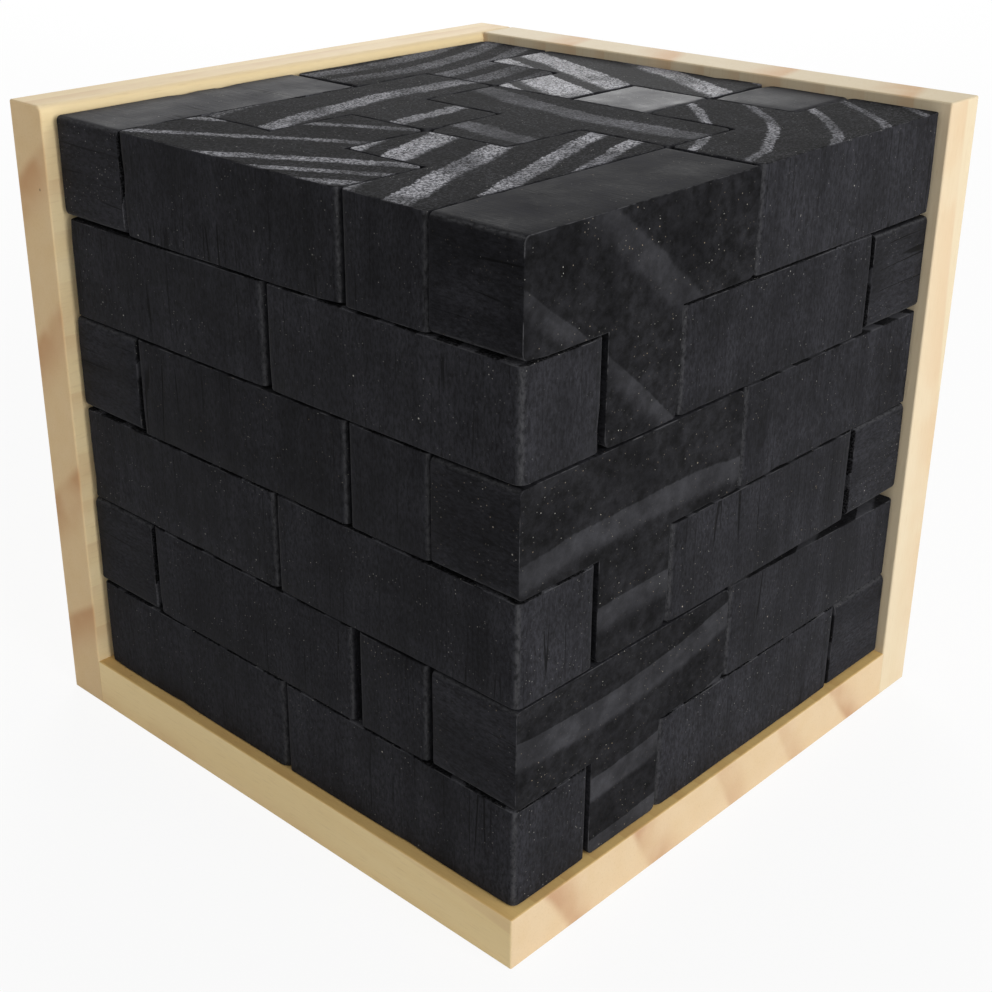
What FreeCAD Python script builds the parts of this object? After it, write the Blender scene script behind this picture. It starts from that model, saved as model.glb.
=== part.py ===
"""Open three-board tray holding a cube of loose T-shaped wooden blocks.

The cube is six units on a side. It is packed from three tiers, each two courses high and each made
of eighteen T blocks: a bar of three units with a stem of one unit. All blocks are the same T, lying
flat or standing upright. The tray is a base with a left wall and a back wall, open to the front (-Y),
the right (+X) and the top (+Z). The origin is the centre of the underside.
"""
import FreeCAD
import Part
import Sketcher
import os

from collections import namedtuple

Vector = FreeCAD.Vector

# Driving dimensions, millimetres.
SIZES = {
    "unit": 15.0,             # pitch of the cube's cells
    "block_gap": 0.3,         # air between neighbouring blocks
    "block_round": 0.9,       # rounding of every outer edge of a block
    "board": 8.0,             # thickness of the three tray boards
    "board_round": 0.3,       # easing of the tray's exposed edges
    "rim_round": 1.2,         # sanding of the left wall's inner top edge
    "inside": 92.0,           # length and width of the base, from each wall to the open edge
    "left_play": 0.8,         # room between the cube and the left wall
    "back_play": 0.3,         # room between the cube and the back wall
    "rise": 1.2,              # height of the walls above the cube
    "slim_trim": 1.3,         # a block planed narrower than the rest
    "narrow_trim": 0.6,       # an upright cut from a thinner strip
    "stem_trim": 0.2,         # a stem sawn narrow
    "short_trim": 0.7,        # a bar sawn short
    "taper": 1.5,             # what a block planed to a taper loses at the back end of its bar
}
CELLS = 6
COURSES_PER_TIER = 2
TIERS = ("bottom", "middle", "top")

AXES = {
    "+x": Vector(1, 0, 0),
    "-x": Vector(-1, 0, 0),
    "+y": Vector(0, 1, 0),
    "-y": Vector(0, -1, 0),
    "+z": Vector(0, 0, 1),
    "-z": Vector(0, 0, -1),
}

# One tier: each block by the cell at the middle of its bar (column from the left wall, row from the
# front, course from below), the way its bar runs and the way its stem points.
Block = namedtuple("Block", "name cell bar stem")
TIER_PATTERN = (
    Block("bed_front_left", (1, 0, 0), "+x", "+y"),
    Block("bed_front_right", (4, 0, 0), "+x", "+y"),
    Block("bed_left", (0, 3, 0), "+y", "+x"),
    Block("bed_centre_left", (2, 2, 0), "+y", "-x"),
    Block("bed_centre_right", (3, 2, 0), "+y", "+x"),
    Block("bed_right", (5, 3, 0), "+y", "-x"),
    Block("bed_rear", (1, 5, 0), "+x", "-y"),
    Block("upright_rear", (3, 4, 0), "+x", "+z"),
    Block("upright_corner", (4, 5, 0), "+x", "+z"),
    Block("upright_left", (0, 1, 1), "+y", "-z"),
    Block("upright_right", (5, 1, 1), "+y", "-z"),
    Block("pinwheel_front", (2, 0, 1), "+x", "+y"),
    Block("pinwheel_left", (1, 2, 1), "+y", "+x"),
    Block("pinwheel_back", (3, 3, 1), "+x", "-y"),
    Block("pinwheel_right", (4, 1, 1), "+y", "-x"),
    Block("cap_left", (0, 4, 1), "+y", "+x"),
    Block("cap_rear", (2, 5, 1), "+x", "-y"),
    Block("cap_right", (5, 4, 1), "+y", "-x"),
)

# Blocks that fit loosely, with the trim that is taken off one of their sizes.
LOOSE_BLOCKS = {
    "bottom_pinwheel_right": {"bar_width": "slim_trim"},
    "middle_upright_corner": {"thickness": "narrow_trim"},
    "top_upright_corner": {"bar_width": "narrow_trim"},
    "top_upright_right": {"stem_width": "stem_trim"},
    "top_bed_front_left": {"bar_length": "short_trim"},
}
TAPERED_BLOCK = "bottom_cap_right"

doc = FreeCAD.newDocument("block_cube_tray")
sheet = doc.addObject("Spreadsheet::Sheet", "Sizes")


def fill_sheet():
    """Put each driving dimension in its own row, with its name as the cell's alias."""
    for row, (name, value) in enumerate(SIZES.items(), start=1):
        sheet.set("A%d" % row, name)
        sheet.set("B%d" % row, str(value))
        sheet.setAlias("B%d" % row, name)
    doc.recompute()


def new_sketch(body, name, role="XY_Plane"):
    """An empty sketch on one of the body's own planes."""
    sketch = body.newObject("Sketcher::SketchObject", name)
    plane = next(f for f in body.Origin.OriginFeatures if f.Role == role)
    sketch.AttachmentSupport = [(plane, "")]
    sketch.MapMode = "FlatFace"
    return sketch


def draw_outline(sketch, corners, levelled_later=()):
    """A closed outline of level and upright lines through the corners, counterclockwise.

    Lines in levelled_later are set level by a constraint that the caller adds.
    """
    count = len(corners)
    for n in range(count):
        start, end = corners[n], corners[(n + 1) % count]
        sketch.addGeometry(Part.LineSegment(Vector(*start, 0), Vector(*end, 0)), False)
    for n in range(count):
        sketch.addConstraint(Sketcher.Constraint("Coincident", n, 2, (n + 1) % count, 1))
        direction = "Horizontal" if n % 2 == 0 else "Vertical"
        if n not in levelled_later:
            sketch.addConstraint(Sketcher.Constraint(direction, n))


def drive(sketch, kind, geometry, name, value, expression):
    """A named dimension of the sketch, bound to the sheet."""
    index = sketch.addConstraint(Sketcher.Constraint(kind, *geometry, value))
    sketch.renameConstraint(index, name)
    sketch.setExpression("Constraints." + name, expression)


def pad_symmetric(body, sketch, expression):
    """Pad the sketch by half of the thickness to each side of its plane."""
    pad = body.newObject("PartDesign::Pad", body.Name + "_pad")
    pad.Profile = sketch
    pad.SideType = "Symmetric"
    pad.setExpression("Length", expression)
    body.Tip = pad


def both_ends(edge, test):
    return all(test(vertex.Point) for vertex in edge.Vertexes)


def round_edges(body, chosen, expression):
    """Round the chosen edges of the body so far."""
    solid = body.Tip
    edges = ["Edge%d" % n for n, edge in enumerate(solid.Shape.Edges, start=1) if chosen(edge)]
    fillet = body.newObject("PartDesign::Fillet", body.Name + "_rounding")
    fillet.Base = (solid, edges)
    fillet.setExpression("Radius", expression)
    body.Tip = fillet


def place(body, rotation, x, y, z):
    """Turn the body, and bind the place of its own origin to the sheet."""
    body.Placement = FreeCAD.Placement(Vector(0, 0, 0), rotation)
    for axis, expression in zip("xyz", (x, y, z)):
        body.setExpression("Placement.Base." + axis, expression)


def near(a, b):
    return abs(a - b) < 1e-6


def trimmed(node, size, expression):
    """The size's expression, less the trim of a loose block."""
    trim = LOOSE_BLOCKS.get(node, {}).get(size)
    return expression + (" - Sizes.%s" % trim if trim else "")


def make_block(node):
    """The T: a bar with a stem on its middle, drawn about the middle of the bar."""
    body = doc.addObject("PartDesign::Body", node)
    body.Label = node
    sketch = new_sketch(body, node + "_outline")
    width = sheet.unit - sheet.block_gap
    half, end, tip = width / 2, sheet.unit + width / 2, sheet.unit + width / 2
    draw_outline(sketch, [(-end, -half), (end, -half), (end, half), (half, half),
                          (half, tip), (-half, tip), (-half, half), (-end, half)], levelled_later=(0, 4))
    origin, vertical_axis = (-1, 1), -2
    sketch.addConstraint(Sketcher.Constraint("Symmetric", 0, 1, 0, 2, vertical_axis))
    sketch.addConstraint(Sketcher.Constraint("Symmetric", 4, 1, 4, 2, vertical_axis))
    sketch.addConstraint(Sketcher.Constraint("Horizontal", 2, 2, 6, 1))
    bar_width = trimmed(node, "bar_width", "Sizes.unit - Sizes.block_gap")
    drive(sketch, "DistanceX", (0, 1, 0, 2), "bar_length", 2 * end,
          trimmed(node, "bar_length", "3 * Sizes.unit - Sizes.block_gap"))
    drive(sketch, "DistanceY", (1, 1, 1, 2), "bar_width", width, bar_width)
    drive(sketch, "DistanceY", (0, 1) + origin, "bar_half_width", half, "(%s) / 2" % bar_width)
    drive(sketch, "DistanceX", (4, 2, 4, 1), "stem_width", width,
          trimmed(node, "stem_width", "Sizes.unit - Sizes.block_gap"))
    drive(sketch, "DistanceY", origin + (3, 2), "stem_tip", tip, "1.5 * Sizes.unit - Sizes.block_gap / 2")
    pad_symmetric(body, sketch, trimmed(node, "thickness", "Sizes.unit - Sizes.block_gap"))
    return body


def plane_to_taper(body):
    """Take a wedge off the top of a T, from nothing at one end of its bar to the taper at the other."""
    before = body.Tip.Shape.Volume
    sketch = new_sketch(body, body.Name + "_wedge", "XZ_Plane")
    end = (3 * sheet.unit - sheet.block_gap) / 2
    top = (sheet.unit - sheet.block_gap) / 2
    corners = [Vector(-end, top, 0), Vector(end, top - sheet.taper, 0), Vector(end, top, 0)]
    for n in range(3):
        sketch.addGeometry(Part.LineSegment(corners[n], corners[(n + 1) % 3]), False)
    for n in range(3):
        sketch.addConstraint(Sketcher.Constraint("Coincident", n, 2, (n + 1) % 3, 1))
    sketch.addConstraint(Sketcher.Constraint("Vertical", 1))
    sketch.addConstraint(Sketcher.Constraint("Horizontal", 2))
    origin = (-1, 1)
    drive(sketch, "DistanceY", (1, 1, 1, 2), "taper", sheet.taper, "Sizes.taper")
    drive(sketch, "DistanceX", (2, 2, 2, 1), "run", 2 * end, "3 * Sizes.unit - Sizes.block_gap")
    drive(sketch, "DistanceX", origin + (1, 2), "far_end", end, "(3 * Sizes.unit - Sizes.block_gap) / 2")
    drive(sketch, "DistanceY", origin + (1, 2), "top", top, "(Sizes.unit - Sizes.block_gap) / 2")
    pocket = body.newObject("PartDesign::Pocket", body.Name + "_taper")
    pocket.Profile = sketch
    pocket.SideType = "Symmetric"
    pocket.setExpression("Length", "4 * Sizes.unit")
    doc.recompute()
    if pocket.Shape.Volume >= before:
        raise RuntimeError("the taper cut nothing")


def finish_block(body, block, tier):
    """Round the T's outer edges, leave its two inner corners sharp, and set it in its cell."""
    sketch = body.Tip.Profile[0]
    shoulder = sketch.getDatum("bar_half_width").Value
    stem_side = sketch.getDatum("stem_width").Value / 2
    if body.Label == TAPERED_BLOCK:
        plane_to_taper(body)

    def at_inner_corner(p):
        return near(p.y, shoulder) and near(abs(p.x), stem_side)

    round_edges(body, lambda edge: not both_ends(edge, at_inner_corner), "Sizes.block_round")
    bar, stem = AXES[block.bar], AXES[block.stem]
    column, row, course = block.cell
    level = COURSES_PER_TIER * tier + course
    place(body, FreeCAD.Rotation(bar, stem, bar.cross(stem), "XYZ"),
          "%s + %.1f * Sizes.unit" % (CUBE_LEFT, column + 0.5),
          "%s + %.1f * Sizes.unit" % (CUBE_FRONT, row + 0.5),
          "Sizes.board + %.1f * Sizes.unit" % (level + 0.5))


def make_board(node, length_x, length_y, height):
    """A rectangular board drawn about its middle."""
    body = doc.addObject("PartDesign::Body", node)
    body.Label = node
    sketch = new_sketch(body, node + "_outline")
    half = sheet.unit
    draw_outline(sketch, [(-half, -half), (half, -half), (half, half), (-half, half)])
    origin = (-1, 1)
    sketch.addConstraint(Sketcher.Constraint("Symmetric", 0, 1, 2, 1, *origin))
    drive(sketch, "DistanceX", (0, 1, 0, 2), "length_x", 2 * half, length_x)
    drive(sketch, "DistanceY", (1, 1, 1, 2), "length_y", 2 * half, length_y)
    pad_symmetric(body, sketch, height)
    return body


# The tray is square in plan and stands about the origin.
TRAY_SIDE = "(Sizes.inside + Sizes.board)"
WALL_HEIGHT = "(Sizes.board + %d * Sizes.unit + Sizes.rise)" % CELLS
CUBE_LEFT = "-%s / 2 + Sizes.board + Sizes.left_play" % TRAY_SIDE
CUBE_FRONT = "%s / 2 - Sizes.board - Sizes.back_play - %d * Sizes.unit" % (TRAY_SIDE, CELLS)


def make_tray():
    """The three boards: the walls stand beside the base, and the back wall butts against the left one."""
    base = make_board("base_board", "Sizes.inside", "Sizes.inside", "Sizes.board")
    left = make_board("left_wall", "Sizes.board", TRAY_SIDE, WALL_HEIGHT)
    back = make_board("back_wall", "Sizes.inside", "Sizes.board", WALL_HEIGHT)
    return base, left, back


def finish_base(base):
    """Ease the base's open edges, and keep its glued sides sharp."""
    box = base.Tip.Shape.BoundBox

    def glued(p):
        return near(p.x, box.XMin) or near(p.y, box.YMax)

    round_edges(base, lambda edge: not both_ends(edge, glued), "Sizes.board_round")
    place(base, FreeCAD.Rotation(), "Sizes.board / 2", "-Sizes.board / 2", "Sizes.board / 2")


def finish_left_wall(left):
    """Sand the inner top edge round, ease the rest, and keep the edges flush with other boards sharp."""
    box = left.Tip.Shape.BoundBox

    def inner_top(p):
        return near(p.x, box.XMax) and near(p.z, box.ZMax)

    round_edges(left, lambda edge: both_ends(edge, inner_top), "Sizes.rim_round")
    doc.recompute()

    def flush_or_sanded(p):
        inside = near(p.x, box.XMax)
        sanded = (near(p.x, box.XMax - sheet.rim_round) and near(p.z, box.ZMax)
                  or inside and near(p.z, box.ZMax - sheet.rim_round))
        return sanded or inside and (near(p.y, box.YMax) or near(p.z, box.ZMin))

    def eased(edge):
        return isinstance(edge.Curve, Part.Circle) and near(edge.Vertexes[0].Y, box.YMin) \
            or not both_ends(edge, flush_or_sanded)

    round_edges(left, eased, "Sizes.board_round")
    place(left, FreeCAD.Rotation(), "(Sizes.board - %s) / 2" % TRAY_SIDE, "0", WALL_HEIGHT + " / 2")


def finish_back_wall(back):
    """Ease the open edges, and keep the glued end and the edge along the base sharp."""
    box = back.Tip.Shape.BoundBox

    def glued(p):
        return near(p.x, box.XMin) or near(p.y, box.YMin) and near(p.z, box.ZMin)

    round_edges(back, lambda edge: not both_ends(edge, glued), "Sizes.board_round")
    place(back, FreeCAD.Rotation(), "Sizes.board / 2", "(%s - Sizes.board) / 2" % TRAY_SIDE, WALL_HEIGHT + " / 2")


def check_packing():
    """Stop unless the pattern fills every cell of a tier once."""
    filled = []
    for block in TIER_PATTERN:
        middle, bar, stem = Vector(*block.cell), AXES[block.bar], AXES[block.stem]
        filled += [tuple(v) for v in (middle - bar, middle, middle + bar, middle + stem)]
    cells = CELLS * CELLS * COURSES_PER_TIER
    inside = all(0 <= x < CELLS and 0 <= y < CELLS and 0 <= z < COURSES_PER_TIER for x, y, z in filled)
    if len(filled) != cells or len(set(filled)) != cells or not inside:
        raise RuntimeError("the tier pattern doesn't fill the tier")


def build():
    """Make every board and block, and return them."""
    check_packing()
    fill_sheet()
    tray = make_tray()
    blocks = []
    for tier, tier_name in enumerate(TIERS):
        for block in TIER_PATTERN:
            body = make_block("%s_%s" % (tier_name, block.name))
            blocks.append((body, block, tier))
    doc.recompute()
    base, left, back = tray
    finish_base(base)
    finish_left_wall(left)
    finish_back_wall(back)
    for body, block, tier in blocks:
        finish_block(body, block, tier)
    doc.recompute()
    return list(tray) + [body for body, _, _ in blocks]


def export(bodies):
    """Stop on any failed object or bad shape, then write one file for each node."""
    for item in doc.Objects:
        if "Invalid" in item.State or "Error" in item.State:
            raise RuntimeError("%s failed: %s" % (item.Label, item.State))
    for body in bodies:
        shape = body.Shape
        if shape.isNull() or not shape.isValid() or len(shape.Solids) != 1:
            raise RuntimeError("%s has no single valid solid" % body.Label)
    os.makedirs("parts", exist_ok=True)
    for body in bodies:
        body.Shape.exportStep("parts/%s.step" % body.Label)
    box = FreeCAD.BoundBox()
    for body in bodies:
        box.add(body.Shape.BoundBox)
    print("%d nodes, overall %.1f x %.1f x %.1f mm" % (len(bodies), box.XLength, box.YLength, box.ZLength))


export(build())
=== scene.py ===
"""Looks of the packing puzzle: black-stained T blocks with worn edges and year rings, in a pine tray."""

import math
import random
from collections import namedtuple
from types import SimpleNamespace

import bpy
import numpy as np
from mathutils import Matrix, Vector


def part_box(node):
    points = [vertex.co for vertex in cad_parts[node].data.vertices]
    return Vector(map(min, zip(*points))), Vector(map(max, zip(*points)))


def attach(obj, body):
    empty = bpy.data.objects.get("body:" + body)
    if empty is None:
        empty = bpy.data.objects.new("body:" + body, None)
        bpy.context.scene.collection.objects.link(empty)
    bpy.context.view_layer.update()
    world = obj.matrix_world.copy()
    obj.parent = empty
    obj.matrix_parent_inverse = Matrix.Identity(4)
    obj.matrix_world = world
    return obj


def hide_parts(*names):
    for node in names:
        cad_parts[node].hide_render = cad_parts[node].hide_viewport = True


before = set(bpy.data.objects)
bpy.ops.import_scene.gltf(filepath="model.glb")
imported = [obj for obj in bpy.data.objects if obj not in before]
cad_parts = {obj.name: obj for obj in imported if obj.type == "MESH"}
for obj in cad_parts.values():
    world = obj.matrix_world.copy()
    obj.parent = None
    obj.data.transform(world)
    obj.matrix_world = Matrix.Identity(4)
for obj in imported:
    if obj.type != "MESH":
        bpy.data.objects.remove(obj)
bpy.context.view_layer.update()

MM = 0.001
UNIT = 15 * MM
TRAY_NODES = ("base_board", "left_wall", "back_wall")
BLOCK_NODES = sorted(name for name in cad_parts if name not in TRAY_NODES)

# The cube's left front bottom corner, which the ring tables count their units from.
BLOCK_GAP = 0.3 * MM
CUBE_CORNER = np.min([list(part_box(node)[0]) for node in BLOCK_NODES], axis=0) - BLOCK_GAP / 2


# Year rings.
# A block is sliced from a T moulding, so its grain runs through its thickness and its T faces are end
# grain. Rings gives the late-wood lines across such a face, in units from the cube's corner: the angle
# of the lines, how they bend about a point along them, where each lies across and how wide it is, and
# how much they stand out.
Rings = namedtuple("Rings", "angle middle bend lines contrast")
# On the top blocks the contrasts are high partly to paint a highlight: their pale late wood is part ring,
# part painted sheen.
SEEN_RINGS = {
    "top_pinwheel_front": Rings(
        30.3, 2.0, 0.01, ((-1.79, 0.16), (-1.47, 0.12), (-1.14, 0.17), (-0.40, 0.10), (0.23, 0.12)), 0.8),
    "top_pinwheel_left": Rings(90.0, 3.2, 0.07, ((-2.50, 0.17), (-1.57, 0.28), (-0.75, 0.20)), 0.8),
    "top_pinwheel_back": Rings(0.0, 4.1, -0.08, ((2.34, 0.24), (3.45, 0.30)), 0.33),
    "top_pinwheel_right": Rings(
        108.5, 1.0, 0.01, ((-5.33, 0.15), (-4.98, 0.20), (-4.36, 0.24), (-3.70, 0.33)), 1.15),
    "top_cap_right": Rings(
        -57.5, -0.5, 0.156, ((6.12, 0.10), (6.72, 0.10), (7.28, 0.10), (7.77, 0.10)), 0.85),
    "top_cap_left": Rings(
        90.0, 3.8, -0.12, ((-1.65, 0.26), (-1.20, 0.22), (-0.72, 0.24), (-0.27, 0.26)), 0.42),
    "top_cap_rear": Rings(-24.0, -0.2, 0.03, ((5.10, 0.50), (5.62, 0.32), (6.50, 0.30)), 1.3),
    "top_upright_right": Rings(-38.0, -2.5, 0.03, ((4.38, 0.15), (5.22, 0.28), (6.95, 0.28)), 0.055),
    "middle_upright_right": Rings(0.0, 1.7, 0.03, ((2.48, 0.26), (3.25, 0.26), (4.70, 0.20)), 0.07),
    "bottom_upright_right": Rings(0.0, 1.0, -0.06, ((0.05, 0.25), (0.71, 0.25), (1.50, 0.28)), 0.085),
}
# The same for blocks whose T faces don't show: limits between which a value is drawn by lot, or one value.
LOT_SPACING = (0.45, 0.7)
LOT_WIDTH = (0.12, 0.22)
LOT_ANGLE = (0, 180)
LOT_BEND = (-0.06, 0.06)
LOT_CONTRAST = (0.1, 0.35)
LOT_MIDDLE = 3.0
LOT_LINES_EACH_WAY = 18
MORE_LINES_EACH_WAY = 8     # lines that go on at the mean spacing beyond those given

# Blocks whose side grain is painted lighter or darker: a share added to its colour, and to the gloss.
# The added colour is painted light: a painted highlight where it is positive, painted shade where it is
# negative.
FinishAndPaintedLight = namedtuple("FinishAndPaintedLight", "tone gloss")
SEEN_FINISH_AND_PAINTED_LIGHT = {
    "top_upright_rear": FinishAndPaintedLight(0.5, 0.9),
    "top_upright_corner": FinishAndPaintedLight(-0.15, 0.35),
    "top_cap_rear": FinishAndPaintedLight(0.2, 0.8),
    "top_upright_left": FinishAndPaintedLight(0.1, 0.2),
    "top_upright_right": FinishAndPaintedLight(-0.25, -0.6),
}
LOT_TONE = (-0.15, 0.15)
LOT_GLOSS = (0.0, 0.3)


# Block shape. The moulding rounds a block's profile corners; the saw leaves its T faces crisper edges.
CORNER_ROUND = 1.1 * MM
CORNER_UNEVEN = 0.25
CORNER_WAVE = 30 * MM
RIM_ROUND = 0.18 * MM
RIM_UNEVEN = 0.3
RIM_WAVE = 14 * MM
WAVE_LIMIT = 1.2
CORNER_STEPS = (0.0, 0.15, 0.4, 0.8, 1.3)   # mesh lines beside a profile corner, millimetres
RIM_STEPS = (0.0, 0.07, 0.2)                # mesh lines beside a T face, millimetres
MESH_STEP = 3.0 * MM
WARP_DEPTH = 0.06 * MM
WARP_WAVE = 22 * MM
NICKS = 4
NICK_SIZE = (0.7, 1.8)                      # millimetres
NICK_DEPTH = (0.08, 0.2)                    # millimetres
NICKED_EDGE = 0.8                           # how diagonal the surface is where a nick may sit
LEAST_TAPER = 0.5 * MM
SHARP_ANGLE = math.radians(60)
WOOD_SHIFT = 40                             # millimetres, how far a block's wood pattern moves by lot

Block = namedtuple("Block", "origin axes bar_length bar_width stem_width stem_tip thickness taper")


def node_points(node):
    """The vertices of a CAD node, as an array."""
    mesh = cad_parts[node].data
    points = np.empty(len(mesh.vertices) * 3, np.float32)
    mesh.vertices.foreach_get("co", points)
    return points.reshape(-1, 3).astype(float)


def read_block(node):
    """Measure a T block on its CAD node: its own frame (bar, stem, thickness) and its sizes."""
    points = node_points(node)
    low, high = points.min(0), points.max(0)
    thick, stem, bar = np.argsort(high - low)
    middle = (low + high) / 2
    bar_end = points[abs(points[:, bar] - middle[bar]) > UNIT]
    bar_low, bar_high = bar_end[:, stem].min(), bar_end[:, stem].max()
    points_up = high[stem] - bar_high > bar_low - low[stem]
    stem_part = points[(points[:, stem] > bar_high) if points_up else (points[:, stem] < bar_low)]
    x_axis, y_axis = np.zeros(3), np.zeros(3)
    x_axis[bar] = 1.0
    y_axis[stem] = 1.0 if points_up else -1.0
    axes = np.array([x_axis, y_axis, np.cross(x_axis, y_axis)])
    origin = middle.copy()
    origin[stem] = (bar_low + bar_high) / 2
    tip = (high[stem] if points_up else low[stem]) - origin[stem]
    far_end = points[points[:, bar] > high[bar] - UNIT / 2]
    taper = high[thick] - far_end[:, thick].max()
    return Block(origin, axes, high[bar] - low[bar], bar_high - bar_low, np.ptp(stem_part[:, bar]),
                 abs(tip), high[thick] - low[thick], taper if taper > LEAST_TAPER else 0.0)


def lines_between(low, high, low_steps=(0.0,), high_steps=(0.0,)):
    """Mesh lines from low to high: at the given steps beside each end, and evenly spaced between."""
    start = [low + step * MM for step in low_steps]
    end = [high - step * MM for step in reversed(high_steps)]
    count = max(1, round((end[0] - start[-1]) / MESH_STEP))
    between = np.linspace(start[-1], end[0], count + 1)[1:-1]
    return np.concatenate([start, between, end])


def joined(*stretches):
    """Stretches of lines, each starting where the last one ended, as one rising list."""
    return np.concatenate([stretches[0]] + [s[1:] for s in stretches[1:]])


def t_grid(block):
    """Points and faces of the T with sharp edges, in its own frame."""
    end, half, side = block.bar_length / 2, block.bar_width / 2, block.stem_width / 2
    depth = block.thickness / 2
    steps = CORNER_STEPS
    xs = joined(lines_between(-end, -side, low_steps=steps), lines_between(-side, side, steps, steps),
                lines_between(side, end, high_steps=steps))
    ys = joined(lines_between(-half, half, steps, steps),
                lines_between(half, block.stem_tip, high_steps=steps))
    zs = lines_between(-depth, depth, RIM_STEPS, RIM_STEPS)
    x_mid, y_mid = (xs[1:] + xs[:-1]) / 2, (ys[1:] + ys[:-1]) / 2
    inside = (y_mid[None, :] < half) | (abs(x_mid[:, None]) < side)
    padded = np.pad(inside, 1)
    index, points, faces = {}, [], []

    def corner(i, j, k):
        key = (i, j, k)
        if key not in index:
            index[key] = len(points)
            points.append((xs[i], ys[j], zs[k]))
        return index[key]

    top = len(zs) - 1
    for i, j in np.argwhere(inside):
        around = ((i, j), (i + 1, j), (i + 1, j + 1), (i, j + 1))
        faces.append([corner(*at, top) for at in around])
        faces.append([corner(*at, 0) for at in (around[0], around[3], around[2], around[1])])
        beside = ((0, -1), (1, 0), (0, 1), (-1, 0))
        for n, (di, dj) in enumerate(beside):
            if padded[i + 1 + di, j + 1 + dj]:
                continue
            a, b = around[n], around[(n + 1) % 4]
            for k in range(top):
                faces.append([corner(*a, k), corner(*b, k), corner(*b, k + 1), corner(*a, k + 1)])
    return np.array(points), faces


def waves(points, rng, length, count=5):
    """Smooth noise between about -1 and 1: a few sine waves of about that length."""
    total = np.zeros(len(points))
    for _ in range(count):
        direction = np.array([rng.gauss(0, 1) for _ in range(points.shape[1])])
        direction *= 2 * math.pi / (length * np.linalg.norm(direction))
        total += np.sin(points @ direction + rng.uniform(0, 2 * math.pi))
    return total / math.sqrt(count)


def uneven(points, rng, length, share):
    """A factor that wavers about 1 by that share."""
    return 1 + share * np.clip(waves(points, rng, length), -WAVE_LIMIT, WAVE_LIMIT)


def round_off(points, block, corner, rim):
    """Round the sharp T: its profile corners by corner, and the edges of its T faces by rim.

    Returns the points and their outward directions.
    """
    end, half, side = block.bar_length / 2, block.bar_width / 2, block.stem_width / 2
    flat, r = points[:, :2], corner[:, None]
    bar = np.clip(flat, np.array([-end, -half]) + r, np.array([end, half]) - r)
    stem = np.clip(flat, np.array([-side, -half]) + r, np.array([side, block.stem_tip]) - r)
    bar_nearer = np.linalg.norm(flat - bar, axis=1) <= np.linalg.norm(flat - stem, axis=1)
    core = np.where(bar_nearer[:, None], bar, stem)
    away = flat - core
    sideways = away / np.maximum(np.linalg.norm(away, axis=1), 1e-9)[:, None]
    inset = corner - abs(away).max(1)
    below = block.thickness / 2 - abs(points[:, 2])
    outwards, upwards = np.clip(rim - inset, 0, None), np.clip(rim - below, 0, None)
    length = np.hypot(outwards, upwards)
    outwards, upwards = outwards / length, upwards / length
    inset = np.where(outwards > 0, rim * (1 - outwards), inset)
    below = np.where(upwards > 0, rim * (1 - upwards), below)
    up = np.sign(points[:, 2])
    rounded = np.column_stack([core + sideways * (corner - inset)[:, None],
                               up * (block.thickness / 2 - below)])
    return rounded, np.column_stack([sideways * outwards[:, None], up * upwards])


def diagonal(directions):
    """How far a direction leans from its nearest axis to the next one: 0 along it, 1 halfway."""
    length = np.linalg.norm(directions, axis=1)
    return np.clip((length - abs(directions).max(1)) / (1 - math.sqrt(0.5)), 0, 1)


def wear(points, outward, rng):
    """Push the surface in a little: a soft warp all over, and small nicks along the edges."""
    depth = WARP_DEPTH * (1 + np.clip(waves(points, rng, WARP_WAVE), -1, 1)) / 2
    edge_points = np.flatnonzero(diagonal(outward) > NICKED_EDGE)
    for _ in range(NICKS):
        centre = points[rng.choice(edge_points)]
        size = rng.uniform(*NICK_SIZE) * MM
        deep = rng.uniform(*NICK_DEPTH) * MM
        depth += deep * np.exp(-((points - centre) ** 2).sum(1) / size ** 2)
    return points - outward * depth[:, None]


def worn_block(block, rng):
    """Points, outward directions and faces of a worn T in its own frame."""
    sharp, faces = t_grid(block)
    corner = CORNER_ROUND * uneven(sharp[:, :2], rng, CORNER_WAVE, CORNER_UNEVEN)
    rim = RIM_ROUND * uneven(sharp, rng, RIM_WAVE, RIM_UNEVEN)
    points, outward = round_off(sharp, block, corner, rim)
    points = wear(points, outward, rng)
    if block.taper:
        share = (points[:, 0] / block.bar_length + 0.5) * (points[:, 2] / block.thickness + 0.5)
        points[:, 2] -= block.taper * share
    return points, outward, faces


def rings_of(node, rng):
    """The year rings of a block: from the table, or drawn by lot."""
    if node in SEEN_RINGS:
        return SEEN_RINGS[node]
    spacing = rng.uniform(*LOT_SPACING)
    start = rng.uniform(0, spacing)
    width = rng.uniform(*LOT_WIDTH)
    numbers = range(-LOT_LINES_EACH_WAY, LOT_LINES_EACH_WAY + 1)
    lines = tuple((start + spacing * n, width) for n in numbers)
    angle = rng.uniform(*LOT_ANGLE)
    bend = rng.uniform(*LOT_BEND)
    contrast = rng.uniform(*LOT_CONTRAST)
    return Rings(angle, LOT_MIDDLE, bend, lines, contrast)


def ring_phase(points, block, rings):
    """Each point's place across the rings, late wood being about whole numbers, and its half width."""
    units = (points - CUBE_CORNER) / UNIT
    lies_flat = abs(block.axes[2][2]) > 0.5
    faces_right = abs(block.axes[2][0]) > 0.5
    u, v = (0, 1) if lies_flat else (1, 2) if faces_right else (0, 2)
    angle = math.radians(rings.angle)
    along = units[:, u] * math.cos(angle) + units[:, v] * math.sin(angle)
    across = units[:, v] * math.cos(angle) - units[:, u] * math.sin(angle)
    across += rings.bend * (along - rings.middle) ** 2
    places, widths = np.array(rings.lines).T
    more = np.diff(places).mean() * np.arange(1, MORE_LINES_EACH_WAY + 1)
    places = np.concatenate([places[0] - more[::-1], places, places[-1] + more])
    widths = np.pad(widths, MORE_LINES_EACH_WAY, mode="edge")
    phase = np.interp(across, places, np.arange(len(places)))
    return phase, np.interp(across, places, widths / np.gradient(places) / 2)


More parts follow.
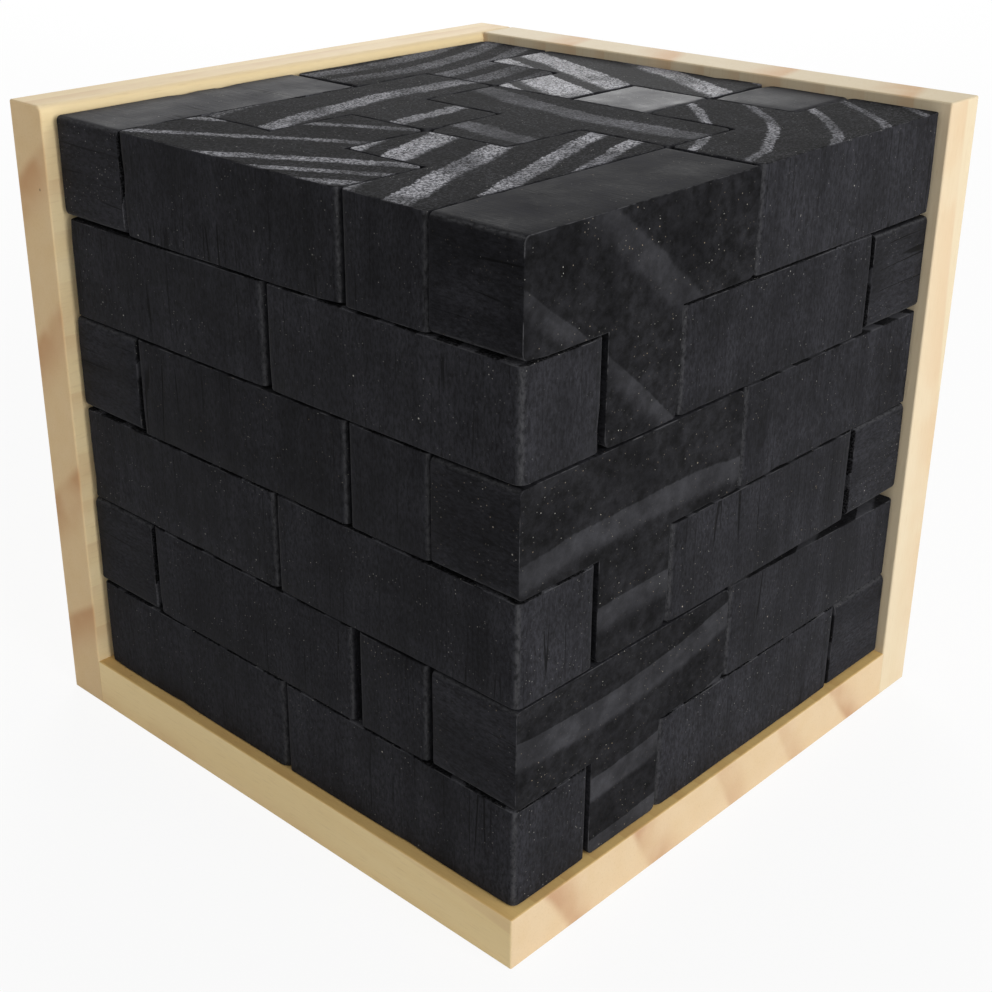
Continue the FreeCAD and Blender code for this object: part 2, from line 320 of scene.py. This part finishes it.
def set_attribute(mesh, name, values):
    """Store one number or one vector for each vertex."""
    values = np.asarray(values, np.float32)
    kind, field = ("FLOAT_VECTOR", "vector") if values.ndim == 2 else ("FLOAT", "value")
    attribute = mesh.attributes.new(name, kind, "POINT")
    attribute.data.foreach_set(field, values.ravel())


def make_block(node, material):
    """A worn T block in place of its CAD solid."""
    rng = random.Random(node)
    block = read_block(node)
    points, outward, faces = worn_block(block, rng)
    placed = points @ block.axes + block.origin
    mesh = bpy.data.meshes.new(node + "_worn")
    mesh.from_pydata(placed.tolist(), [], faces)
    mesh.polygons.foreach_set("use_smooth", [True] * len(mesh.polygons))
    mesh.set_sharp_from_angle(angle=SHARP_ANGLE)
    rings = rings_of(node, rng)
    phase, late = ring_phase(placed, block, rings)
    # Seen blocks take their painted light from the table, the others a shift of colour drawn by lot.
    finish_and_painted_light = SEEN_FINISH_AND_PAINTED_LIGHT.get(node, FinishAndPaintedLight(rng.uniform(*LOT_TONE), rng.uniform(*LOT_GLOSS)))
    shift = np.array([rng.uniform(0, WOOD_SHIFT) for _ in range(3)])
    end_grain = outward[:, 2] ** 2
    attributes = {
        "ring": phase,
        "late_width": late,
        "contrast": np.full(len(placed), rings.contrast),
        "wood": points / MM + shift,
        "edge": diagonal(outward[:, :2]),
        "end_grain": end_grain,
        "rim": 4 * end_grain * (1 - end_grain),
        "tone": np.full(len(placed), finish_and_painted_light.tone),
        "gloss": np.full(len(placed), finish_and_painted_light.gloss),
    }
    for name, values in attributes.items():
        set_attribute(mesh, name, values)
    mesh.materials.append(material)
    piece = bpy.data.objects.new(node + "_worn", mesh)
    bpy.context.scene.collection.objects.link(piece)
    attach(piece, node)
    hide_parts(node)


# The Mix node's sockets for its factor and two ends, and its output, by what it mixes.
MIX_INPUTS = {"RGBA": (0, 6, 7), "FLOAT": (0, 2, 3)}
MIX_OUTPUT = {"RGBA": 2, "FLOAT": 0}


class Graph:
    """A material's node tree, built with short calls that take sockets or plain values and return sockets."""

    def __init__(self, name):
        self.material = bpy.data.materials.new(name)
        self.material.use_nodes = True
        self.tree = self.material.node_tree
        self.surface = self.tree.nodes["Principled BSDF"]

    def put(self, socket, value):
        """Link a socket to the value, or set it."""
        if isinstance(value, bpy.types.NodeSocket):
            self.tree.links.new(value, socket)
        else:
            socket.default_value = value

    def node(self, kind, inputs=(), **settings):
        """A new node with those settings and inputs."""
        made = self.tree.nodes.new(kind)
        for key, value in settings.items():
            setattr(made, key, value)
        for key, value in dict(inputs).items():
            self.put(made.inputs[key], value)
        return made

    def attribute(self, name, output="Fac"):
        return self.node("ShaderNodeAttribute", attribute_name=name).outputs[output]

    def math(self, operation, *values, clamp=False):
        made = self.node("ShaderNodeMath", enumerate(values), operation=operation, use_clamp=clamp)
        return made.outputs[0]

    def times(self, a, b):
        return self.math("MULTIPLY", a, b)

    def plus(self, a, b):
        return self.math("ADD", a, b)

    def minus(self, a, b, clamp=False):
        return self.math("SUBTRACT", a, b, clamp=clamp)

    def line(self, value, slope, start):
        """A straight line through start, of that slope."""
        return self.math("MULTIPLY_ADD", value, slope, start)

    def ramp(self, value, low, high, to_low=0.0, to_high=1.0):
        """A smooth step from low to high."""
        inputs = {"Value": value, "From Min": low, "From Max": high, "To Min": to_low, "To Max": to_high}
        return self.node("ShaderNodeMapRange", inputs, interpolation_type="SMOOTHSTEP").outputs[0]

    def mix(self, factor, a, b, kind="RGBA"):
        """Blend two colours, or what kind says."""
        made = self.node("ShaderNodeMix", zip(MIX_INPUTS[kind], (factor, a, b)), data_type=kind)
        return made.outputs[MIX_OUTPUT[kind]]

    def blend(self, factor, a, b):
        """Blend two numbers."""
        return self.mix(factor, a, b, "FLOAT")

    def vector(self, operation, a, b, output="Vector"):
        made = self.node("ShaderNodeVectorMath", operation=operation)
        self.put(made.inputs[0], a)
        self.put(made.inputs["Scale" if operation == "SCALE" else 1], b)
        return made.outputs[output]

    def dot(self, a, b):
        return self.vector("DOT_PRODUCT", a, b, "Value")

    def stretch(self, vector, scale):
        return self.node("ShaderNodeMapping", {"Vector": vector, "Scale": scale}).outputs[0]

    def noise(self, vector, scale, detail, roughness):
        """Noise with that many cycles per unit along each axis."""
        place = self.stretch(vector, scale)
        inputs = {"Vector": place, "Scale": 1.0, "Detail": detail, "Roughness": roughness}
        return self.node("ShaderNodeTexNoise", inputs).outputs["Fac"]

    def specks(self, vector, pitch, size, share):
        """Round specks of uneven brightness: one in each cell of that pitch, for a share of the cells."""
        cells = self.node("ShaderNodeTexVoronoi", {"Vector": vector, "Scale": 1.0 / pitch}).outputs
        near = self.ramp(cells["Distance"], size / pitch, 0.4 * size / pitch)
        lot = self.node("ShaderNodeSeparateColor", {"Color": cells["Color"]}).outputs["Red"]
        return self.times(near, self.ramp(lot, 1.0 - share, 1.0))

    def bump(self, height, distance, strength):
        made = self.node("ShaderNodeBump", {"Height": height, "Distance": distance, "Strength": strength})
        self.put(self.surface.inputs["Normal"], made.outputs[0])


def grey(level, blue=1.0):
    """A grey, with its blue raised by that factor."""
    return (level, level, level * blue, 1.0)


# Noises of the black wood, by what they shape: cycles per millimetre along a block's bar, its stem and its
# grain, then detail and roughness.
WOOD_NOISES = {
    "drift": ((0.12, 0.12, 0.02), 1.0, 0.5),    # slow waver of the rings
    "tear": ((1.5, 1.5, 0.15), 3.0, 0.6),       # ragged borders of the late wood
    "grain": ((2.8, 2.8, 0.5), 3.0, 0.7),       # pores of the end grain
    "fade": ((0.10, 0.10, 0.02), 2.0, 0.5),     # where the late wood thins out
    "fibre": ((2.2, 2.2, 0.06), 3.0, 0.6),      # dark fibres of the side grain
    "fuzz": ((2.4, 2.4, 1.2), 3.0, 0.7),        # fine roughness all over
    "streak": ((0.4, 0.4, 0.02), 2.0, 0.5),     # broad streaks along the grain
    "cloud": ((0.10, 0.10, 0.10), 4.0, 0.6),    # uneven stain
    "saw": ((0.06, 2.4, 0.06), 1.0, 0.5),       # saw marks across the T faces
    "mottle": ((0.6, 0.6, 0.6), 4.0, 0.75),     # spots on quiet T faces, and brown dust
    "chafe": ((0.3, 0.3, 0.3), 3.0, 0.7),       # where the painted rim highlights break off
    "vein": ((0.25, 0.25, 0.012), 1.0, 0.5),    # lines that the cracks follow
    "dry": ((0.07, 0.07, 0.07), 1.0, 0.5),      # where there are cracks
    "clump": ((0.16, 0.16, 0.16), 2.0, 0.5),    # where dust gathers
}
# Colours of the stain, the darkest and the palest where there are two. Their raised blue is a painted cool
# cast of light.
QUIET_EARLY = (grey(0.008, 1.05), grey(0.0185, 1.12))
LIVELY_EARLY = (grey(0.003, 1.05), grey(0.043, 1.10))
# Pale late wood: the rings' own colour, made paler on the top blocks as a painted highlight.
LATE_WOOD_AND_SHEEN = grey(0.26, 1.11)
SIDE_GRAIN = (grey(0.008, 1.10), grey(0.0295, 1.17))
DARK_LINE = grey(0.0033)
# Pale stain of the rubbed corners, raised there and along the rims into a painted highlight.
WORN_STAIN_AND_HIGHLIGHT = grey(0.062, 1.06)
PALE_DUST = (0.50, 0.49, 0.455, 1.0)
BROWN_DUST = (0.36, 0.27, 0.17, 1.0)
# Dust: the pitch and size of its specks in millimetres, and the share of places that have one.
FINE_DUST = (0.62, 0.10, 0.7)
LARGE_DUST = (2.3, 0.16, 0.4)
# Ring contrasts between which a T face turns lively, its late wood breaks up, and its borders turn crisp.
LIVELY_FROM = (0.12, 0.3)
BROKEN_FROM = (0.2, 0.4)
CRISP_FROM = (0.05, 0.08)
STAIN_SPECULAR = 0.035
STAIN_BUMP = 0.06 * MM
STAIN_BUMP_STRENGTH = 0.7
GLOSS_EFFECT = 0.2      # roughness that a gloss of 1 takes away


def late_wood_and_sheen(g, noise, lively):
    """The late wood of each ring, times its contrast: a band that starts softly and ends crisply. Where the
    contrast is high, on the top blocks, the pale band is partly a painted highlight.
    """
    width, contrast = g.attribute("late_width"), g.attribute("contrast")
    ragged = g.times(g.minus(noise.tear, 0.5), g.blend(lively, 0.025, 0.18))
    wavy = g.times(g.minus(noise.drift, 0.5), g.blend(lively, 0.06, 0.14))
    place = g.plus(g.attribute("ring"), g.plus(wavy, ragged))
    turn = g.math("FRACT", g.minus(place, width))
    start = g.minus(1.0, g.times(width, 2.0))
    soft = g.times(width, g.ramp(contrast, *CRISP_FROM, 1.0, 0.3))
    rise = g.ramp(turn, g.minus(start, soft), g.plus(start, soft))
    fall = g.ramp(turn, 1.0, g.line(soft, -0.3, 1.0))
    broken = g.times(g.ramp(noise.grain, 0.40, 0.6, 0.12, 1.0), g.ramp(noise.fade, 0.36, 0.54, 0.45, 1.0))
    strength = g.blend(g.ramp(contrast, *BROKEN_FROM), 1.0, broken)
    return g.times(g.times(g.times(rise, fall), strength), contrast)


def cracks(g, noise):
    """Thin drying cracks along the side grain, here and there."""
    line = g.ramp(g.math("ABSOLUTE", g.minus(noise.vein, 0.5)), 0.012, 0.004)
    return g.times(line, g.ramp(noise.dry, 0.57, 0.68, 0.0, 0.8))


def stain_colour(g, noise, late, lively, crack, end_grain):
    """The stained wood before wear: end grain with its rings, side grain with its fibres, both clouded."""
    quiet = g.mix(g.ramp(noise.mottle, 0.3, 0.7), *QUIET_EARLY)
    busy = g.mix(g.ramp(noise.grain, 0.42, 0.68), *LIVELY_EARLY)
    # Late wood, partly a painted highlight where the contrast is high.
    end_face = g.mix(late, g.mix(lively, quiet, busy), LATE_WOOD_AND_SHEEN)
    side_face = g.mix(g.ramp(noise.fuzz, 0.2, 0.8), *SIDE_GRAIN)
    side_face = g.mix(g.ramp(noise.fibre, 0.60, 0.72, 0.0, 0.6), side_face, DARK_LINE)
    side_face = g.mix(crack, side_face, DARK_LINE)
    # On the seen blocks this share is painted light on the side grain; on the others it is drawn by lot.
    tone = g.times(g.attribute("tone"), g.minus(1.0, end_grain))
    shade = g.plus(g.ramp(noise.cloud, 0.3, 0.7, 0.7, 1.3), tone)
    shade = g.times(shade, g.ramp(noise.streak, 0.25, 0.75, 0.85, 1.15))
    return g.vector("SCALE", g.mix(end_grain, side_face, end_face), shade)


def worn_and_highlit_colour(g, noise, colour):
    """Stain rubbed thin along the profile's corners and paled further there as a painted highlight, and a
    broken painted highlight along the rims.
    """
    corners = g.times(g.ramp(g.attribute("edge"), 0.0, 0.9), g.ramp(noise.fuzz, 0.3, 0.7, 0.15, 0.95))
    # The pale line along the rims is a painted highlight.
    rims = g.times(g.ramp(g.attribute("rim"), 0.2, 0.9), g.ramp(noise.chafe, 0.44, 0.62))
    return g.mix(g.math("MAXIMUM", corners, rims), colour, WORN_STAIN_AND_HIGHLIGHT)


def dusty_colour(g, noise, colour, wood, lively, end_grain):
    """Fine dust and some larger specks in loose clumps, brownish on quiet faces."""
    fine = g.times(g.specks(wood, *FINE_DUST), g.blend(end_grain, 0.6, 1.0))
    dust = g.math("MAXIMUM", fine, g.specks(wood, *LARGE_DUST))
    clumps = g.ramp(noise.clump, 0.42, 0.66, 0.12, 1.0)
    brown = g.times(g.ramp(noise.mottle, 0.42, 0.58), g.minus(0.9, lively, clamp=True))
    return g.mix(g.times(dust, clumps), colour, g.mix(brown, PALE_DUST, BROWN_DUST))


def stain_roughness(g, noise, late, end_grain):
    """Dull early wood, smoother late wood and uneven side grain, less each block's gloss."""
    rough_end = g.plus(g.blend(late, 0.88, 0.4), g.line(noise.grain, 0.3, -0.15))
    rough_side = g.line(noise.fuzz, 0.3, g.line(noise.cloud, 0.5, 0.25))
    rough = g.blend(end_grain, rough_side, rough_end)
    return g.minus(rough, g.times(g.attribute("gloss"), GLOSS_EFFECT), clamp=True)


def stain_height(g, noise, late, lively, crack, end_grain):
    """Relief: pores, saw marks and proud late wood on T faces, fibres and cracks beside them, fuzz on all."""
    end_pores = g.times(noise.grain, g.blend(lively, 0.35, 1.0))
    pores = g.times(g.blend(end_grain, noise.fibre, end_pores), g.blend(late, 1.0, 0.4))
    saw = g.times(noise.saw, g.times(end_grain, 0.5))
    proud = g.times(late, g.times(end_grain, 0.9))
    height = g.plus(g.plus(g.plus(pores, saw), proud), g.times(noise.fuzz, 0.5))
    return g.minus(height, g.times(crack, g.minus(1.0, end_grain)))


def black_wood():
    """Black stain on softwood: dull early wood, smooth late wood, fine fibres, worn edges and dust."""
    g = Graph("black_stained_wood")
    wood = g.attribute("wood", "Vector")
    end_grain = g.attribute("end_grain")
    noise = SimpleNamespace(**{name: g.noise(wood, *values) for name, values in WOOD_NOISES.items()})
    lively = g.ramp(g.attribute("contrast"), *LIVELY_FROM)
    late = late_wood_and_sheen(g, noise, lively)
    crack = cracks(g, noise)
    colour = stain_colour(g, noise, late, lively, crack, end_grain)
    colour = worn_and_highlit_colour(g, noise, colour)
    colour = dusty_colour(g, noise, colour, wood, lively, end_grain)
    g.put(g.surface.inputs["Base Color"], colour)
    g.put(g.surface.inputs["Roughness"], stain_roughness(g, noise, late, end_grain))
    g.put(g.surface.inputs["Specular IOR Level"], STAIN_SPECULAR)
    g.bump(stain_height(g, noise, late, lively, crack, end_grain), STAIN_BUMP, STAIN_BUMP_STRENGTH)
    return g.material


# Boards. Each has the axis its grain runs along, the direction across its year rings, the rings' pitch and
# start in millimetres, the two shades of its early wood, the tint of its end grain, and a painted shade on
# its upper side.
Board = namedtuple("Board", "grain across pitch start dark light end_tint top_tint")
WHITE = (1.0, 1.0, 1.0, 1.0)
BOARDS = {
    "base_board": Board(
        grain=(1, 0, 0), across=(-0.03, -0.80, -0.60), pitch=14.4, start=8.1,
        dark=(0.90, 0.68, 0.34, 1.0), light=(0.96, 0.77, 0.44, 1.0),
        end_tint=(0.76, 0.74, 0.86, 1.0), top_tint=(0.80, 0.70, 0.50, 1.0)),
    "left_wall": Board(
        grain=(0, 1, 0), across=(-0.66, 0.02, 0.75), pitch=18.8, start=9.1,
        dark=(0.84, 0.65, 0.35, 1.0), light=(0.90, 0.74, 0.46, 1.0),
        end_tint=(0.90, 0.82, 0.78, 1.0), top_tint=(0.95, 0.95, 1.0, 1.0)),
    "back_wall": Board(
        grain=(0, 0, 1), across=(0.95, 0.30, 0.03), pitch=20.0, start=-1.5,
        dark=(0.71, 0.585, 0.39, 1.0), light=(0.75, 0.64, 0.46, 1.0),
        end_tint=WHITE, top_tint=(0.95, 0.95, 0.92, 1.0)),
}
# Noises of the pine, by what they shape: cycles per millimetre along and across the grain, detail, roughness.
PINE_NOISES = {
    "fibre": (0.26, 3.1, 3.0, 0.6),         # fibres along the grain
    "streak": (0.026, 0.31, 3.0, 0.5),      # paler and darker early wood
    "wander": (0.03, 0.03, 1.0, 0.5),       # sway of the broad bands
    "bend": (0.005, 0.03, 1.0, 0.5),        # sway of the fine bands
    "patch": (0.09, 0.09, 2.0, 0.5),        # where the bands show
}
# Late-wood bands, as shares of a ring: where one rises and where it falls off again towards the ring's end,
# then its strength on side grain and on end grain.
Band = namedtuple("Band", "rise fall on_side on_end")
BROAD_BAND = Band((0.5, 0.92), 0.9, 0.25, 0.8)
FINE_BAND = Band((0.4, 0.96), 0.96, 0.3, 0.0)
FINE_BANDS = 3              # fine bands to each ring
RING_SWAY = 9.0             # millimetres that a noise moves the bands by
LATE_PINE = (0.63, 0.36, 0.17, 1.0)
FIBRE_PINE = (0.58, 0.40, 0.20, 1.0)
DOT_PINE = (0.20, 0.13, 0.06, 1.0)
PINE_DOTS = (3.4, 0.3, 0.3)                 # pitch, size and share, as for the dust
PINE_SPECULAR = 0.2
PINE_BUMP = 0.05 * MM
PINE_BUMP_STRENGTH = 0.5


def pine_noise(g, place, board, along, across, detail, roughness):
    """A noise that follows a board's grain."""
    return g.noise(place, tuple(along if runs else across for runs in board.grain), detail, roughness)


def pine_band(g, across, pitch, band, patch, end_grain):
    """A late-wood band in each pitch: it darkens slowly, stops short, and shows in patches."""
    turn = g.math("FRACT", g.math("DIVIDE", across, pitch))
    shape = g.times(g.ramp(turn, *band.rise), g.ramp(turn, 1.0, band.fall))
    return g.times(g.times(shape, patch), g.blend(end_grain, band.on_side, band.on_end))


def pine(node):
    """Bare sanded pine: pale early wood, soft brown late-wood bands, fine fibres along the grain."""
    g = Graph("pine_" + node)
    board = BOARDS[node]
    coordinates = g.node("ShaderNodeTexCoord").outputs
    place = g.stretch(coordinates["Object"], (1 / MM,) * 3)
    end_grain = g.math("ABSOLUTE", g.dot(coordinates["Normal"], board.grain))
    upwards = g.node("ShaderNodeSeparateXYZ", {"Vector": coordinates["Normal"]}).outputs["Z"]
    noise = SimpleNamespace(**{
        name: pine_noise(g, place, board, *values) for name, values in PINE_NOISES.items()})

    across = g.plus(g.dot(place, board.across), board.start)
    patch = g.ramp(noise.patch, 0.35, 0.6, 0.35, 1.0)
    broad_across = g.line(noise.wander, RING_SWAY, across)
    fine_across = g.line(noise.bend, RING_SWAY, across)
    broad = pine_band(g, broad_across, board.pitch, BROAD_BAND, patch, end_grain)
    fine = pine_band(g, fine_across, board.pitch / FINE_BANDS, FINE_BAND, patch, end_grain)
    dots = g.times(g.specks(place, *PINE_DOTS), 0.7)

    colour = g.mix(noise.streak, board.dark, board.light)
    colour = g.mix(broad, colour, LATE_PINE)
    colour = g.mix(fine, colour, LATE_PINE)
    colour = g.mix(g.ramp(noise.fibre, 0.5, 0.8, 0.0, 0.25), colour, FIBRE_PINE)
    colour = g.mix(dots, colour, DOT_PINE)
    # The upper side gets a painted shade, strongest on the base's ledge beside the black blocks.
    for share, tint in ((end_grain, board.end_tint), (g.ramp(upwards, 0.5, 0.9), board.top_tint)):
        colour = g.vector("MULTIPLY", colour, g.mix(share, WHITE, tint))
    g.put(g.surface.inputs["Base Color"], colour)
    g.put(g.surface.inputs["Roughness"], g.line(noise.fibre, 0.2, 0.52))
    g.put(g.surface.inputs["Specular IOR Level"], PINE_SPECULAR)
    g.bump(g.plus(noise.fibre, g.times(noise.streak, 0.4)), PINE_BUMP, PINE_BUMP_STRENGTH)
    return g.material


def dress_tray():
    """The three boards keep their CAD shape and get their own pine."""
    for node in TRAY_NODES:
        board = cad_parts[node]
        board.data.materials.clear()
        board.data.materials.append(pine(node))


def make_blocks():
    material = black_wood()
    for node in BLOCK_NODES:
        make_block(node, material)


# Stage, light and camera.
FLOOR_SIZE = 6.0
FLOOR_COLOUR = (0.9, 0.9, 0.9, 1.0)
FLOOR_GLOW = 0.9
SKY_LIGHT = 0.41
Lamp = namedtuple("Lamp", "name place aim size power")
LAMPS = (
    Lamp("right_softbox", (0.92, -0.04, 0.38), (0.0, 0.0, 0.05), 0.6, 6.8),
    Lamp("back_window", (-0.72, 0.76, 0.56), (0.0, 0.0, 0.09), 0.6, 5.4),
)
CAMERA_AT = Vector((0.1574, -0.1709, 0.1446))
CAMERA_TOWARDS = Vector((-0.63415, 0.65786, -0.40630))
LENS = 57.5
SENSOR = 36.0
SHIFT = (0.036, -0.036)
NEAREST_SEEN = 0.01


def seen_directly(tree):
    """One for the rays that show the backdrop itself: camera, mirror and glass rays; nothing for the rest."""
    rays = tree.nodes.new("ShaderNodeLightPath").outputs
    total = rays["Is Camera Ray"]
    for name in ("Is Glossy Ray", "Is Transmission Ray"):
        either = tree.nodes.new("ShaderNodeMath")
        either.operation = "MAXIMUM"
        tree.links.new(total, either.inputs[0])
        tree.links.new(rays[name], either.inputs[1])
        total = either.outputs[0]
    return total


def make_floor():
    """A pale floor: white where it is seen, a little darker in the object's shadow."""
    bpy.ops.mesh.primitive_plane_add(size=FLOOR_SIZE)
    floor = bpy.context.object
    floor.name = "floor"
    material = bpy.data.materials.new("white_floor")
    material.use_nodes = True
    tree = material.node_tree
    tree.nodes.clear()
    diffuse = tree.nodes.new("ShaderNodeBsdfDiffuse")
    diffuse.inputs["Color"].default_value = FLOOR_COLOUR
    glow = tree.nodes.new("ShaderNodeEmission")
    mixed = tree.nodes.new("ShaderNodeMixShader")
    share = tree.nodes.new("ShaderNodeMath")
    share.operation = "MULTIPLY"
    share.inputs[1].default_value = FLOOR_GLOW
    tree.links.new(seen_directly(tree), share.inputs[0])
    tree.links.new(share.outputs[0], mixed.inputs[0])
    tree.links.new(diffuse.outputs[0], mixed.inputs[1])
    tree.links.new(glow.outputs[0], mixed.inputs[2])
    out = tree.nodes.new("ShaderNodeOutputMaterial")
    tree.links.new(mixed.outputs[0], out.inputs[0])
    floor.data.materials.append(material)


def make_world():
    """White surroundings that light the object softly."""
    world = bpy.data.worlds.new("studio")
    bpy.context.scene.world = world
    world.use_nodes = True
    tree = world.node_tree
    background = tree.nodes["Background"]
    background.inputs["Color"].default_value = WHITE
    strength = tree.nodes.new("ShaderNodeMix")
    strength.data_type = "FLOAT"
    factor, unseen, seen = MIX_INPUTS["FLOAT"]
    strength.inputs[unseen].default_value = SKY_LIGHT
    strength.inputs[seen].default_value = 1.0
    tree.links.new(seen_directly(tree), strength.inputs[factor])
    tree.links.new(strength.outputs[MIX_OUTPUT["FLOAT"]], background.inputs["Strength"])


def make_lamp(lamp):
    """A square area lamp, pointed at its aim."""
    data = bpy.data.lights.new(lamp.name, "AREA")
    data.shape = "SQUARE"
    data.size = lamp.size
    data.energy = lamp.power
    made = bpy.data.objects.new(lamp.name, data)
    made.location = lamp.place
    made.rotation_euler = (Vector(lamp.aim) - Vector(lamp.place)).to_track_quat("-Z", "Y").to_euler()
    bpy.context.scene.collection.objects.link(made)


def make_camera():
    data = bpy.data.cameras.new("camera")
    data.sensor_width = SENSOR
    data.lens = LENS
    data.shift_x, data.shift_y = SHIFT
    data.clip_start = NEAREST_SEEN
    camera = bpy.data.objects.new("camera", data)
    camera.location = CAMERA_AT
    camera.rotation_euler = CAMERA_TOWARDS.to_track_quat("-Z", "Y").to_euler()
    bpy.context.scene.collection.objects.link(camera)
    bpy.context.scene.camera = camera


make_blocks()
dress_tray()
make_floor()
make_world()
for lamp in LAMPS:
    make_lamp(lamp)
make_camera()
bpy.context.scene.view_settings.view_transform = "Standard"
